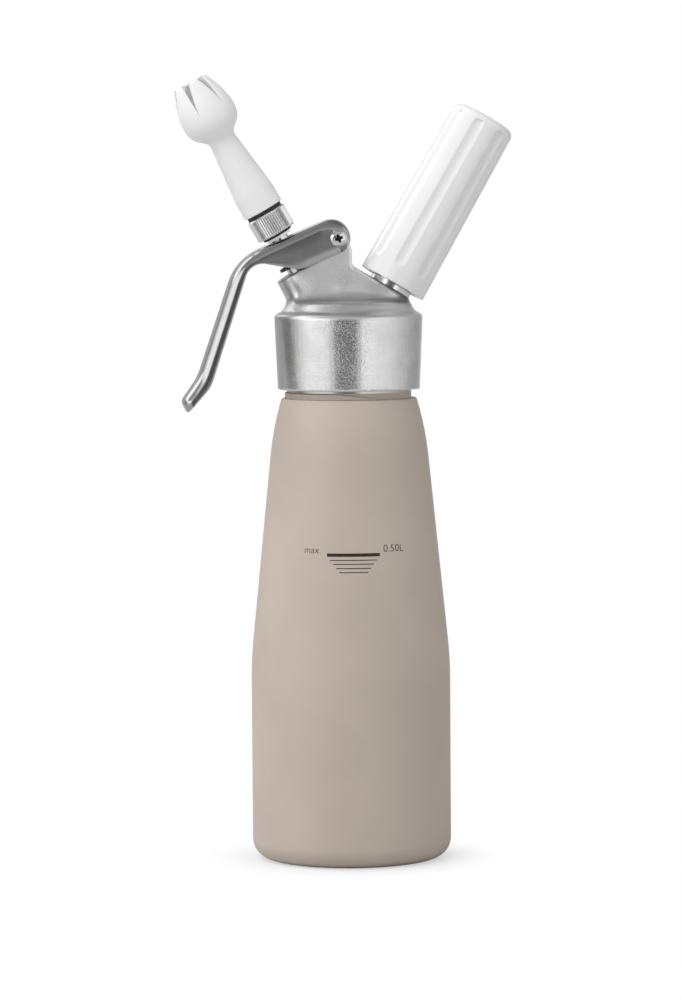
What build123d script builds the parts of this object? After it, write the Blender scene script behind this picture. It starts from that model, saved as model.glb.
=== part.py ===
from build123d import *
import os
from math import cos, pi, radians, sin, sqrt, tan

# Whipped cream dispenser, millimetres.
# Origin: centre of the flask's foot. +Z up, the lever on -X, the charger holder on +X.

# --- clearances -----------------------------------------------------------------------
running_gap = 0.06      # radial play of a pin or stem in its bore
seat_gap = 0.05         # play where one piece rests on, or is screwed into, another
free_gap = 0.3          # play between pieces that move past each other

# --- flask ----------------------------------------------------------------------------
flask_radius = 40.0
flask_wall = 1.8
foot_corner = 8.0           # rolled corner between foot and side
foot_dish = 3.0             # rise of the dished underside
foot_ring = 2.0             # width of the flat ring that the flask stands on
knee_height = 80.3          # where the straight side turns into the taper
knee_round = 160.0
taper_angle = 5.76          # lean of the tapered side
shoulder_start = 162.0      # the taper rolls over into the shoulder here
shoulder_top = 184.4
shoulder_radius = 27.4
shoulder_lip = 1.1          # height of the rounded edge above the shoulder
shoulder_lip_width = 1.0
neck_radius = 25.0
neck_top = 211.0
thread_radius = 26.0        # crest of the neck thread
thread_start = 191.5
thread_length = 13.0

# --- head casting ---------------------------------------------------------------------
skirt_bottom = 189.1
skirt_bottom_radius = 28.5
skirt_radius = 29.7
skirt_top = 219.4
skirt_corner = 2.2
drum_foot_radius = 26.8     # low drum on top of the skirt, drawn in towards its top
drum_radius = 23.8
drum_foot = 219.9
drum_top = 225.6
crown_top = 228.6           # middle of the domed top
gasket_thickness = 3.0
gasket_inner_radius = 21.4
cavity_radius = 21.0
cavity_top = 221.0
tilt = 30.0                 # lean of spout and charger port from upright

# --- spout and dispensing valve, heights along the spout's own axis from its face ------
spout_x = -20.15
spout_z = 237.0
spout_radius = 9.7
spout_draft = 3.5
spout_depth = 24.0          # how far the boss reaches down into the drum
spout_flat_start = -4.8     # the flats for the lever's flanges start here and run up to
spout_flat_run = 3.0        # their full depth over this length
stem_radius = 3.0
stem_thick_radius = 4.2
stem_bore = 1.6
stem_neck_radius = 3.5
stem_neck_top = 15.0
stem_top = 22.0
spring_ledge = -2.3         # step that the return spring pushes on
spring_floor = -10.3
spring_wire = 0.8
spring_coils = 4.5
valve_seat = -20.3
valve_seal_radius = 5.2
valve_seal_thickness = 2.0
valve_flange = 1.6
outlet_radius = 1.1         # cross holes that let the cream into the stem
outlet_height = -18.5
o_ring_height = -14.3
o_ring_section = 1.4
clip_height = 2.3           # underside of the stroke clip
clip_thickness = 1.1
clip_radius = 6.6
clip_groove_radius = 3.5
push_collar_radius = 6.4
push_collar_thickness = 1.6
push_gap = 0.15             # between the lever's bumps and the collar at rest
seat_boss_radius = 7.2      # inner bosses that end square to the valve and to the shank
seat_boss_root = -4.0       # below the outer faces, where they meet the casting

# --- nozzle adapter -------------------------------------------------------------------
adapter_bottom = 15.0
hex_across_flats = 9.6
hex_height = 1.0
adapter_core_radius = 4.6   # waist that the seal sits on
adapter_seal_thickness = 1.0
adapter_seal_radius = 6.2
knurl_radius = 8.15
knurl_depth = 0.4
knurl_count = 48
knurl_height = 9.1
spigot_radius = 4.0
spigot_length = 7.6
nozzle_gasket_thickness = 1.6
nozzle_gasket_radius = 7.4

# --- tulip nozzle, heights above its own base ------------------------------------------
nozzle_base_radius = 8.4
nozzle_sleeve_radius = 8.2
nozzle_sleeve_top = 8.4
nozzle_neck_radius = 5.5
nozzle_neck_height = 32.0
bulb_radius = 11.4
bulb_height = 43.8
nozzle_length = 58.5
nozzle_tip_radius = 7.1
nozzle_bore = 3.2
nozzle_wall = 2.0
petal_count = 6
petal_phase = 9.0
petal_slot_foot = 45.0      # height where each slot starts
petal_slot_width = 3.5      # width of each slot at the tip

# --- lever, drawn from sheet, in a frame along its top ---------------------------------
pivot_along = 19.4          # pivot's place beside the spout axis
pivot_above = 3.2           # and above the spout face
ear_right = 5.6             # pivot to the ear's upright side
ear_ledge = 0.65            # pivot down to the ledge under the lever's wrapped end
ear_corner = 0.5
ear_foot_round = 4.5        # hollow corner between the ear and the port boss
ear_thickness = 15.2
ear_side_gap = 0.35
ear_end_gap = 0.7           # between the ear's round top and the web
lever_sheet = 1.25
lever_slope = 22.7          # fall of the lever's top from level
lever_web = 8.25            # pivot to the top of the lever
lever_end_shift = -1.5      # centre of the round end, along the top from the pivot
lever_flange = 5.7          # pivot to the flange's lower edge
lever_knee_reach = 39.5     # pivot to the corner between top and arm
lever_knee_round = 24.0
elbow_shift = 3.7           # inner corner of the flange at the knee, from the outer corner
elbow_drop = 2.95
belly_reach = 18.5          # pivot to where the flange starts to narrow
arm_lean = 18.7             # lean of the arm from upright
arm_length = 50.1
arm_depth = 5.3
heel_shift = 2.0            # inner corner of the flange at the tip's bend, along the arm
tip_flare = 16.4            # outward turn of the tip
tip_length = 11.7
tip_bend_round = 22.0
nose_depth = 4.6
nose_round = 3.0
lever_bend = 2.4            # outer radius of the sheet's long bends
wrap_angle = 30.0           # how far the web wraps below the middle of the round end
pivot_radius = 2.5
pivot_head_radius = 3.3
pivot_head_height = 1.7
pivot_thread_radius = 1.5
recess_width = 3.4          # cross recess of the screw
recess_slot = 0.8
recess_floor = 0.6
recess_turn = 20.0
push_bump = 1.0             # pressed bumps under the web that bear on the valve
push_bump_radius = 1.0
slot_play = 0.6             # round the valve's neck in the lever's slot
lever_swing = 6.3           # degrees, squeezed

# --- charger port, heights along the port's own axis from its face ---------------------
port_x = 16.7
port_z = 229.4
port_radius = 9.0
port_draft = 8.0
port_depth = 16.0
port_neck_radius = 8.75
port_thread_start = 2.3
port_thread_radius = 10.2
port_top = 10.6
port_shank_radius = 5.0
port_shank_end = -14.0
port_recess_radius = 4.9
port_recess_floor = 2.6
pin_radius = 1.6
pin_foot = -1.5
pin_point = 5.4
pin_bore = 0.5
pin_seal_thickness = 1.5
check_valve_length = 3.0
check_valve_wall = 0.9
gas_bore = 1.0

# --- charger and its holder -----------------------------------------------------------
charger_radius = 8.9
charger_length = 65.5
charger_neck_radius = 4.35
charger_neck_length = 8.0
charger_shoulder = 7.5
charger_play = 0.4          # beside the charger in its liner
charger_end_play = 0.5
holder_mouth = 2.1
holder_radius = 14.05
holder_top_radius = 13.1
holder_head_room = 4.3      # between the liner's closed top and the cover's
holder_corner = 3.2
holder_dome = 0.8
holder_top_wall = 2.6
liner_wall = 1.2
liner_thread_length = 11.4
flute_count = 8
flute_phase = 32.0
flute_width = 4.8
flute_depth = 0.9
flute_start = 7.0           # above the holder's mouth
flute_end = 4.6             # below the holder's top

BASE = (Align.CENTER, Align.CENTER, Align.MIN)


def frame_at(x, z, lean):
    """Working frame whose Z leans from upright about Y, positive towards +X."""
    up = (sin(radians(lean)), 0, cos(radians(lean)))
    across = (cos(radians(lean)), 0, -sin(radians(lean)))
    return Plane(origin=(x, 0, z), x_dir=across, z_dir=up)


spout = frame_at(spout_x, spout_z, -tilt)
port = frame_at(port_x, port_z, tilt)
pivot = spout.from_local_coords(Vector(pivot_along, 0, pivot_above))

# Lever frame: X runs up along the lever's top, Y points off its outer face, Z towards -Y.
lever_frame = Plane(
    origin=pivot,
    x_dir=(cos(radians(lever_slope)), 0, sin(radians(lever_slope))),
    z_dir=(0, -1, 0),
)
lever_inner_half = ear_thickness / 2 + ear_side_gap
lever_half = lever_inner_half + lever_sheet

# Height on the spout axis where the web's underside crosses it, and what follows from it.
web_lean = radians(tilt - lever_slope)
web_under = lever_web - lever_sheet
web_crossing = -(pivot_along + web_under * sin(web_lean)) / cos(web_lean)
web_height = pivot_above - web_crossing * sin(web_lean) + web_under * cos(web_lean)
push_height = web_height - push_bump - push_gap
nozzle_foot = adapter_bottom + hex_height + adapter_seal_thickness + knurl_height
nozzle_foot += nozzle_gasket_thickness
gasket_seat = neck_top + gasket_thickness
charger_tip = port_recess_floor + pin_seal_thickness + 2 * seat_gap
liner_top = charger_tip + charger_length + charger_end_play + liner_wall
holder_rise = liner_top - holder_mouth + holder_head_room + holder_top_wall
foot_rim = flask_radius - foot_corner - foot_ring


def rod(radius, low, high):
    """Round bar on Z between two heights."""
    return Pos(0, 0, low) * Cylinder(radius, high - low, align=BASE)


def ring(inner, outer, low, high):
    """Flat washer or sleeve on Z between two heights."""
    return rod(outer, low, high) - rod(inner, low - 1, high + 1)


def rims(piece):
    """Circular edges of a turned piece."""
    return piece.edges().filter_by(GeomType.CIRCLE)


def turned(*lines):
    """Solid of revolution about Z of a closed outline given in radius and height."""
    return revolve(Plane.XZ * make_face(Curve() + list(lines)), Axis.Z)


def flask_form(inset):
    """Solid of the flask's outside, or of the space inside it when inset by the wall."""
    lean = tan(radians(taper_angle))
    roll = flask_radius - (shoulder_start - knee_height) * lean
    side = FilletPolyline(
        (foot_rim, inset), (flask_radius - inset, inset), (flask_radius - inset, knee_height),
        (roll - inset, shoulder_start), radius=[foot_corner - inset, knee_round - inset],
    )
    top = shoulder_top - inset / 2
    shoulder = TangentArc(side @ 1, (shoulder_radius - inset, top), tangent=side % 1)
    neck = Polyline(
        shoulder @ 1,
        (neck_radius - inset + shoulder_lip_width, top + shoulder_lip),
        (neck_radius - inset, top + shoulder_lip),
        (neck_radius - inset, neck_top + inset),
        (0, neck_top + inset),
        (0, foot_dish + inset),
    )
    dish = ThreePointArc(neck @ 1, (foot_rim / 2, 0.75 * foot_dish + inset), (foot_rim, inset))
    return turned(side, shoulder, neck, dish)


def flask():
    """Drawn flask: dished foot, straight side, long taper, rolled shoulder, threaded neck."""
    band = ring(neck_radius - flask_wall / 2, thread_radius, thread_start, thread_start + thread_length)
    crests = rims(band).filter_by(lambda e: e.radius > neck_radius)
    return flask_form(0) + chamfer(crests, 0.6) - flask_form(flask_wall)


def head():
    """Die-cast head: threaded skirt, drum, leaning spout and port, and the lever's ear."""
    outer = FilletPolyline(
        (skirt_bottom_radius, skirt_bottom), (skirt_radius, skirt_top - 3), (skirt_radius, skirt_top),
        (drum_foot_radius, drum_foot), (drum_radius, drum_top), (0, crown_top),
        radius=[0, skirt_corner, 1.6, 2.2],
    )
    body = turned(outer, Polyline(outer @ 1, (0, skirt_bottom), outer @ 0))
    body += spout_boss() + port_boss() + ear()
    body -= head_hollow()
    body += seat_bosses() & rod(cavity_radius + 1, skirt_top - 10, crown_top)
    body -= spout * (
        rod(stem_thick_radius + running_gap, spring_floor, 20)
        + rod(stem_radius + running_gap, valve_seat - 5, spring_floor + 1)
    )
    body -= port * rod(port_shank_radius + seat_gap, port_shank_end - 5, 20)
    body -= seat_pockets()
    body -= pivot_bore(pivot_radius + seat_gap)
    return body


def head_hollow():
    """Bore for the neck, the seat of the gasket and the space above it."""
    bore = rod(thread_radius + free_gap, skirt_bottom - 1, gasket_seat)
    cavity = rod(cavity_radius, skirt_bottom, cavity_top)
    cavity = fillet(cavity.edges().sort_by(Axis.Z)[-1:], 3.0)
    return bore + cavity


def spout_boss():
    """Round boss that carries the valve, with flats that leave room for the flanges."""
    foot_radius = spout_radius + spout_depth * tan(radians(spout_draft))
    boss = Pos(0, 0, -spout_depth) * Cone(foot_radius, spout_radius, spout_depth, align=BASE)
    half = ear_thickness / 2
    start = (spout_flat_start, sqrt(spout_radius**2 - spout_flat_start**2))
    far = spout_radius + 6
    flat = Spline(start, (spout_flat_start + spout_flat_run, half), tangents=[(1, -0.3), (1, 0)])
    rest = Polyline(flat @ 1, (far, half), (far, far), (spout_flat_start, far), start)
    relief = extrude(make_face(Curve() + [flat, rest]), spout_depth, both=True)
    return spout * (boss - relief - mirror(relief, Plane.XZ))


def port_boss():
    """Round boss under the charger port."""
    foot_radius = port_radius + port_depth * tan(radians(port_draft))
    return port * Pos(0, 0, -port_depth) * Cone(foot_radius, port_radius, port_depth, align=BASE)


def ear():
    """Upright web between the two bosses that the lever straddles."""
    right = pivot.X + ear_right
    ledge = pivot.Z - ear_ledge
    run = (port_x - right) / cos(radians(tilt))
    foot = port_z + run * sin(radians(tilt))
    spout_side = spout.from_local_coords(Vector(7.6, 0, -0.8))
    spout_rise = spout.from_local_coords(Vector(8.4, 0, 3.0))
    spout_low = spout.from_local_coords(Vector(0, 0, -0.8))
    end = lever_end_centre()
    outline = FilletPolyline(
        (end.X, ledge), (right, ledge), (right, foot), (port_x, port_z),
        (port_x, cavity_top), (spout_x + 4, cavity_top), (spout_low.X, spout_low.Z),
        (spout_side.X, spout_side.Z), (spout_rise.X, spout_rise.Z), (end.X, end.Z),
        radius=[ear_corner, ear_foot_round, 0, 0, 0, 0, 0, 1.5, 0, 0],
        close=True,
    )
    web = extrude(Plane.XZ * make_face(outline), ear_thickness / 2, both=True)
    top_radius = lever_end_radius() - lever_sheet - ear_end_gap
    knuckle = Pos(end.X, 0, end.Z) * Rot(90, 0, 0) * Cylinder(top_radius, ear_thickness)
    return web + knuckle


def seat_bosses():
    """Inner bosses under the top that end square to the valve and the port shank."""
    valve = spout * rod(seat_boss_radius, valve_seat, seat_boss_root)
    shank = port * rod(seat_boss_radius, port_shank_end + check_valve_length, seat_boss_root)
    return valve + shank


def seat_pockets():
    """Room below the inner bosses for the moving seal and the rubber cap."""
    valve = spout * rod(valve_seal_radius + free_gap, valve_seat - 8, valve_seat)
    cap_radius = port_shank_radius + seat_gap + check_valve_wall + free_gap
    cap = port * rod(cap_radius, port_shank_end - 4, port_shank_end + check_valve_length)
    return valve + cap


def pivot_bore(radius):
    """Cross bore of the lever's pivot."""
    return Pos(pivot.X, 0, pivot.Z) * Rot(90, 0, 0) * Cylinder(radius, 4 * ear_thickness)


def lever_end_radius():
    """Radius of the lever's round end."""
    return (lever_web + lever_flange) / 2


def lever_end_centre():
    """Centre of the lever's round end."""
    return lever_frame.from_local_coords(Vector(lever_end_shift, (lever_web - lever_flange) / 2, 0))


def head_gasket():
    """Flat silicone ring between the neck's rim and the head."""
    gasket = ring(gasket_inner_radius, thread_radius - 0.2, neck_top + seat_gap, gasket_seat - seat_gap)
    return chamfer(rims(gasket), 0.3)


def lever_corners():
    """Sharp corners of the lever's side: knee, bend and nose of the web, heel, elbow and belly."""
    along = radians(270 - arm_lean - lever_slope)
    arm = Vector(cos(along), sin(along))
    flare = along - radians(tip_flare)
    knee = Vector(-lever_knee_reach, lever_web)
    bend = knee + arm * arm_length
    nose = bend + Vector(cos(flare), sin(flare)) * tip_length
    heel = bend + Vector(-arm.Y, arm.X) * arm_depth + arm * heel_shift
    elbow = knee + Vector(elbow_shift, -elbow_drop)
    belly = Vector(-belly_reach, -lever_flange)
    return knee, bend, nose, heel, elbow, belly


def web_path():
    """Outside of the lever's web, from the wrapped end over the knee and down to the nose."""
    centre = (lever_end_shift, (lever_web - lever_flange) / 2)
    knee, bend, nose = lever_corners()[:3]
    wrap = CenterArc(centre, lever_end_radius(), -wrap_angle, 90 + wrap_angle)
    run = FilletPolyline(
        wrap @ 1, knee, bend, nose, nose + Vector(0.3, -nose_depth),
        radius=[lever_knee_round, tip_bend_round, nose_round],
    )
    return Curve() + [wrap, run]


def lever_outline():
    """Side outline of the lever: the web's outside, then back along the flange's lower edge."""
    web = web_path()
    heel, elbow, belly = lever_corners()[3:]
    edge = FilletPolyline(
        web @ 1, heel, elbow, belly, (lever_end_shift, -lever_flange), radius=[14, 7, 12],
    )
    turn = radians(-45 - wrap_angle / 2)
    reach = 0.98 * lever_end_radius()
    middle = (lever_end_shift + reach * cos(turn), (lever_web - lever_flange) / 2 + reach * sin(turn))
    end = ThreePointArc(edge @ 1, middle, web @ 0)
    return make_face(web + [edge, end])


def lever_blank(inset):
    """Bar with the long bends rounded, deeper than the flanges, or the space inside its sheet."""
    web = web_path()
    start = web @ 0 - (web % 0) * 14
    finish = web @ 1 + (web % 1) * 14
    back = Polyline(finish, (finish.X + 30, finish.Y + 4), (start.X - 12, start.Y - 4), start)
    face = make_face(Curve() + [Line(start, web @ 0), web, Line(web @ 1, finish), back])
    if inset:
        face = offset(face, -inset)
    bar = extrude(lever_frame * face, lever_half - inset, both=True)
    bends = bar.edges().filter_by(lambda e: follows_web(e, lever_half - inset, inset))
    return fillet(bends, lever_bend - inset)


def lever():
    """Lever drawn from sheet: web outside, two flanges, round end over the ear, arm and tip."""
    shell = lever_blank(0) & extrude(lever_frame * lever_outline(), lever_half, both=True)
    shell -= lever_blank(lever_sheet)
    shell -= extrude(lever_frame * lever_mouth(), lever_inner_half, both=True)
    shift = (web_height - pivot_above) * radians(lever_swing)
    slot = Pos(shift / 2, 0, web_height - 3) * extrude(
        SlotCenterToCenter(shift + 2 * slot_play, 2 * (stem_neck_radius + slot_play)), 8
    )
    shell = shell - spout * slot - pivot_bore(pivot_radius + running_gap)
    bump_centre = push_height + push_gap + push_bump_radius
    bump = rod(push_bump_radius, bump_centre, web_height + 0.4)
    bump += Pos(0, 0, bump_centre) * Sphere(push_bump_radius)
    for side in (-1, 1):
        shell += spout * Pos(0, side * (push_collar_radius - push_bump_radius), 0) * bump
    return shell


def follows_web(edge, half_width, depth):
    """True for an edge of a side face that lies a given depth inside the web's outline."""
    middle = lever_frame.to_local_coords(edge @ 0.5)
    beside = abs(abs(middle.Z) - half_width) < 0.01
    return beside and abs(web_path().distance_to(Vector(middle.X, middle.Y)) - depth) < 0.02


def lever_mouth():
    """Open underside of the lever, between the flanges and past the wrapped end."""
    nose, heel, elbow, belly = lever_corners()[2:]
    under_nose = nose - Vector(-1.5, nose_depth + 0.9)
    deep = under_nose.Y - lever_half
    right = lever_end_radius() + 1
    below = Polyline(
        (under_nose.X - 2 * lever_half, deep), under_nose, heel, elbow - Vector(0, 2.1),
        belly + Vector(0, 2.5), (right, -2.0), (right, deep), close=True,
    )
    return make_face(below)


def pivot_sleeve():
    """Shouldered sleeve that the lever turns on, with a low round head on the far side."""
    grip = lever_half + seat_gap
    sleeve = rod(pivot_radius, -grip, grip)
    sleeve += rod(pivot_head_radius, grip, grip + pivot_head_height)
    sleeve -= rod(pivot_thread_radius, -grip - 1, grip)
    rim = rims(sleeve).sort_by(Axis.Z)[-1:]
    return Pos(pivot.X, 0, pivot.Z) * Rot(-90, 0, 0) * fillet(rim, 0.9)


def pivot_screw():
    """Pan-head cross-recess screw that closes the sleeve on the near side."""
    grip = lever_half + 2 * seat_gap
    screw = rod(pivot_head_radius, grip, grip + pivot_head_height)
    rim = rims(screw).sort_by(Axis.Z)[-1:]
    screw = fillet(rim, 1.2) + rod(pivot_thread_radius - seat_gap, 0, grip)
    cross = Box(recess_width, recess_slot, 4, align=BASE)
    cross += Box(recess_slot, recess_width, 4, align=BASE)
    screw -= Rot(0, 0, recess_turn) * Pos(0, 0, grip + recess_floor) * cross
    return Pos(pivot.X, 0, pivot.Z) * Rot(90, 0, 0) * screw


def valve_stem():
    """Hollow stem: foot flange, guided shank, spring step, clip groove, collar and neck."""
    flange_top = valve_seat - seat_gap - valve_seal_thickness
    collar_foot = push_height - push_collar_thickness
    stem = rod(valve_seal_radius, flange_top - valve_flange, flange_top)
    stem += rod(stem_radius, flange_top, spring_ledge)
    stem += rod(stem_thick_radius, spring_ledge, collar_foot)
    stem += rod(push_collar_radius, collar_foot, push_height)
    stem += rod(stem_neck_radius, push_height, stem_neck_top)
    stem += rod(stem_radius, stem_neck_top, stem_top)
    stem -= rod(stem_bore, outlet_height - 1.4 * outlet_radius, stem_top + 1)
    for turn in (0, 90):
        stem -= Rot(0, 0, turn) * Pos(0, 0, outlet_height) * Rot(90, 0, 0) * Cylinder(outlet_radius, 20)
    stem -= ring(
        stem_radius - o_ring_section / 2, stem_radius + 1,
        o_ring_height - o_ring_section / 2, o_ring_height + o_ring_section / 2,
    )
    stem -= ring(clip_groove_radius, stem_thick_radius + 1, clip_height, clip_height + clip_thickness)
    return spout * stem


def stem_o_ring():
    """Ring in the stem's groove that seals the guide bore."""
    half = o_ring_section / 2 - seat_gap / 2
    inner = stem_radius - o_ring_section / 2 + seat_gap / 2
    seal = ring(inner, stem_radius + running_gap / 2, o_ring_height - half, o_ring_height + half)
    return spout * chamfer(rims(seal), 0.25)


def stroke_clip():
    """Retaining clip in the stem's groove; it meets the spout's face at full stroke."""
    clip = Cylinder(clip_radius, clip_thickness - seat_gap)
    clip -= Cylinder(clip_groove_radius + seat_gap, 4)
    clip -= Pos(clip_radius, 0, 0) * Box(2 * clip_radius, 2 * clip_groove_radius - 1.2, 4)
    for side in (-1, 1):
        clip -= Pos(-2.6, side * 6.2, 0) * Cylinder(1.9, 4)
    return spout * Pos(0, 0, clip_height + clip_thickness / 2) * clip


def valve_spring():
    """Return spring between the floor of its pocket and the step of the stem."""
    mean = stem_radius + running_gap + spring_wire / 2 + 0.15
    play = spring_wire / 2 + seat_gap
    length = spring_ledge - spring_floor - 2 * play
    coil = Helix(length / spring_coils, length, mean)
    wire = Plane(origin=coil @ 0, z_dir=coil % 0) * Circle(spring_wire / 2)
    return spout * Pos(0, 0, spring_floor + play) * sweep(wire, path=coil, is_frenet=True)


def valve_seal():
    """Rubber washer on the stem's foot that closes against the inner boss."""
    foot = valve_seat - seat_gap - valve_seal_thickness
    seal = ring(stem_radius + seat_gap, valve_seal_radius, foot + seat_gap, valve_seat - seat_gap)
    return spout * chamfer(rims(seal).filter_by(lambda e: e.radius > stem_radius + 1), 0.3)


def knurled(radius, low, high):
    """Straight-knurled bar with chamfered ends."""
    points = []
    for step in range(2 * knurl_count):
        reach = radius - knurl_depth * (step % 2)
        turn = pi * step / knurl_count
        points.append((reach * cos(turn), reach * sin(turn)))
    bar = Pos(0, 0, low) * extrude(make_face(Polyline(*points, close=True)), high - low)
    blank = rod(radius, low, high)
    return bar & chamfer(rims(blank), 2 * knurl_depth)


def nozzle_adapter():
    """Adapter screwed on the stem: wrench hexagon, knurled ring and the nozzle's spigot."""
    hex_top = adapter_bottom + hex_height
    ring_foot = hex_top + adapter_seal_thickness
    ring_top = ring_foot + knurl_height
    hexagon = RegularPolygon(hex_across_flats / 2, 6, major_radius=False)
    body = Pos(0, 0, adapter_bottom) * extrude(hexagon, hex_height)
    body += rod(adapter_core_radius, hex_top, ring_foot)
    body += knurled(knurl_radius, ring_foot, ring_top)
    spigot = rod(spigot_radius, ring_top, ring_top + spigot_length)
    body += chamfer(rims(spigot).sort_by(Axis.Z)[-1:], 0.6)
    body -= rod(stem_radius + seat_gap, adapter_bottom - 1, stem_top + seat_gap)
    body -= rod(stem_bore, stem_top, ring_top + spigot_length + 1)
    return spout * body


def adapter_seal():
    """Black ring clamped between the hexagon and the knurled ring."""
    low = adapter_bottom + hex_height + seat_gap
    high = low + adapter_seal_thickness - 2 * seat_gap
    seal = ring(adapter_core_radius + seat_gap, adapter_seal_radius, low, high)
    return spout * chamfer(rims(seal), 0.25)


def nozzle_gasket():
    """Flat black gasket between the knurled ring and the nozzle."""
    low = nozzle_foot - nozzle_gasket_thickness + seat_gap
    gasket = ring(spigot_radius + free_gap, nozzle_gasket_radius, low, nozzle_foot - seat_gap)
    return spout * chamfer(rims(gasket), 0.2)


def nozzle_profile(inset):
    """Outside of the nozzle, or its bore when inset by the wall."""
    neck = nozzle_bore if inset else nozzle_neck_radius
    top = nozzle_length + inset / 2
    bulb = Spline(
        (neck, nozzle_neck_height + inset / 2),
        (bulb_radius - 2.1 - inset, nozzle_neck_height + 4.7 + 0.6 * inset),
        (bulb_radius - inset, bulb_height),
        (nozzle_tip_radius - inset, top),
        tangents=[(0, 1), (-0.45, 1)],
    )
    if inset:
        stem = Polyline(
            (spigot_radius + free_gap, -1), (spigot_radius + free_gap, spigot_length + 1.5),
            (nozzle_bore, spigot_length + 2.6), bulb @ 0,
        )
        close = Polyline(bulb @ 1, (0, top), (0, -1), (spigot_radius + free_gap, -1))
        return turned(stem, bulb, close)
    stem = FilletPolyline(
        (nozzle_base_radius, 0), (nozzle_sleeve_radius, nozzle_sleeve_top), bulb @ 0, radius=[20],
    )
    close = Polyline(bulb @ 1, (0, top), (0, 0), (nozzle_base_radius, 0))
    return turned(stem, bulb, close)


def tulip_nozzle():
    """Moulded decorating nozzle whose bulb is split into petals by tapering slots."""
    nozzle = nozzle_profile(0) - nozzle_profile(nozzle_wall)
    rise = nozzle_length - petal_slot_foot
    reach = bulb_radius + 2
    spread = petal_slot_width / 2 * (rise + 2) / rise
    wedge = make_face(Polyline((0, 0), (spread, rise + 2), (-spread, rise + 2), close=True))
    side = Plane(origin=(0, 0, petal_slot_foot), x_dir=(0, 1, 0), z_dir=(1, 0, 0))
    slot = side * extrude(wedge, reach)
    for petal in range(petal_count):
        nozzle -= Rot(0, 0, petal_phase + petal * 360 / petal_count) * slot
    return spout * Pos(0, 0, nozzle_foot) * nozzle


def charger_port():
    """Steel insert: threaded shank in the head, bright neck and the thread of the holder."""
    insert = rod(port_shank_radius, port_shank_end, port_thread_start)
    insert += rod(port_neck_radius, seat_gap, port_thread_start)
    thread = rod(port_thread_radius, port_thread_start, port_top)
    insert += chamfer(rims(thread), 0.7)
    insert -= rod(port_recess_radius, port_recess_floor, port_top + 1)
    insert -= rod(pin_radius + seat_gap, pin_foot, port_recess_floor + 1)
    insert -= rod(gas_bore, port_shank_end - 1, 0)
    return port * insert


def piercing_pin():
    """Hollow pin pressed into the port that opens the charger."""
    base = port_recess_floor + pin_seal_thickness
    body = rod(pin_radius, pin_foot + seat_gap, base)
    tip = Pos(0, 0, base) * Cone(pin_radius - 0.5, pin_bore + 0.2, pin_point - base, align=BASE)
    return port * (body + tip - rod(pin_bore, pin_foot - 1, pin_point + 1))


def pin_seal():
    """Rubber washer round the pin that the charger's mouth presses on."""
    seal = ring(pin_radius + seat_gap, port_recess_radius - seat_gap, port_recess_floor + seat_gap,
                port_recess_floor + pin_seal_thickness)
    return port * seal


def check_valve():
    """Rubber cap on the shank's end that lets gas in and keeps cream out."""
    inner = port_shank_radius + seat_gap
    top = port_shank_end + check_valve_length - seat_gap
    cap = rod(inner + check_valve_wall, port_shank_end - 1.0, top)
    cap -= rod(inner, port_shank_end - seat_gap, top + 1)
    cap -= Pos(0, 0, port_shank_end) * Box(2.4, 0.4, 4)
    return port * cap


def gas_charger():
    """Steel gas charger: narrow neck down in the port, round shoulder, body and round end."""
    body_start = charger_tip + charger_neck_length + charger_shoulder
    end = charger_tip + charger_length
    neck = FilletPolyline(
        (0, charger_tip + 2.0), (1.6, charger_tip + 2.0), (1.6, charger_tip),
        (charger_neck_radius, charger_tip), (charger_neck_radius, charger_tip + charger_neck_length),
        radius=[0, 0, 0.4],
    )
    shoulder = Spline(
        neck @ 1, (charger_radius, body_start), tangents=[(0, 1), (0, 1)],
    )
    side = Line(shoulder @ 1, (charger_radius, end - charger_radius))
    dome = RadiusArc(side @ 1, (0, end), -charger_radius)
    if (dome @ 0.5).X < 0.5 * charger_radius:
        dome = RadiusArc(side @ 1, (0, end), charger_radius)
    return port * turned(neck, shoulder, side, dome, Line((0, end), (0, charger_tip + 2.0)))


def holder_liner():
    """Thin metal liner of the holder: threaded mouth, straight tube and closed top."""
    thread_top = holder_mouth + liner_thread_length
    bore = port_thread_radius + free_gap
    tube = charger_radius + charger_play
    liner = rod(bore + liner_wall, holder_mouth, thread_top + liner_wall)
    liner += rod(tube + liner_wall, holder_mouth, liner_top)
    liner -= rod(bore, holder_mouth - 1, thread_top)
    liner -= rod(tube, holder_mouth - 1, liner_top - liner_wall)
    return port * liner


def charger_holder():
    """Moulded cover pressed over the liner, tapered and fluted for grip."""
    outer = FilletPolyline(
        (0, 0), (holder_radius, 0), (holder_top_radius, holder_rise), (0, holder_rise + holder_dome),
        radius=[0.4, holder_corner],
    )
    cover = turned(outer, Line(outer @ 1, (0, 0)))
    thread_top = liner_thread_length + liner_wall
    top = holder_rise - holder_top_wall
    cover -= rod(port_thread_radius + free_gap + liner_wall + seat_gap, -1, thread_top + seat_gap)
    cover -= rod(charger_radius + charger_play + liner_wall + seat_gap, -1, top)
    cutter_radius = (flute_width**2 / 4 + flute_depth**2) / (2 * flute_depth)
    sink = cutter_radius - flute_depth
    taper = (holder_radius - holder_top_radius) / holder_rise
    low = flute_start + flute_width / 2
    high = holder_rise - flute_end
    length = (high - low) * sqrt(1 + taper**2)
    flute = rod(cutter_radius, 0, length) + Sphere(cutter_radius)
    flute += Pos(0, 0, length) * Sphere(cutter_radius)
    place = Plane(
        origin=(holder_radius - taper * low + sink, 0, low), x_dir=(1, 0, taper), z_dir=(-taper, 0, 1),
    )
    for count in range(flute_count):
        cover -= Rot(0, 0, flute_phase + count * 360 / flute_count) * (place * flute)
    return port * Pos(0, 0, holder_mouth) * cover


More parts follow.
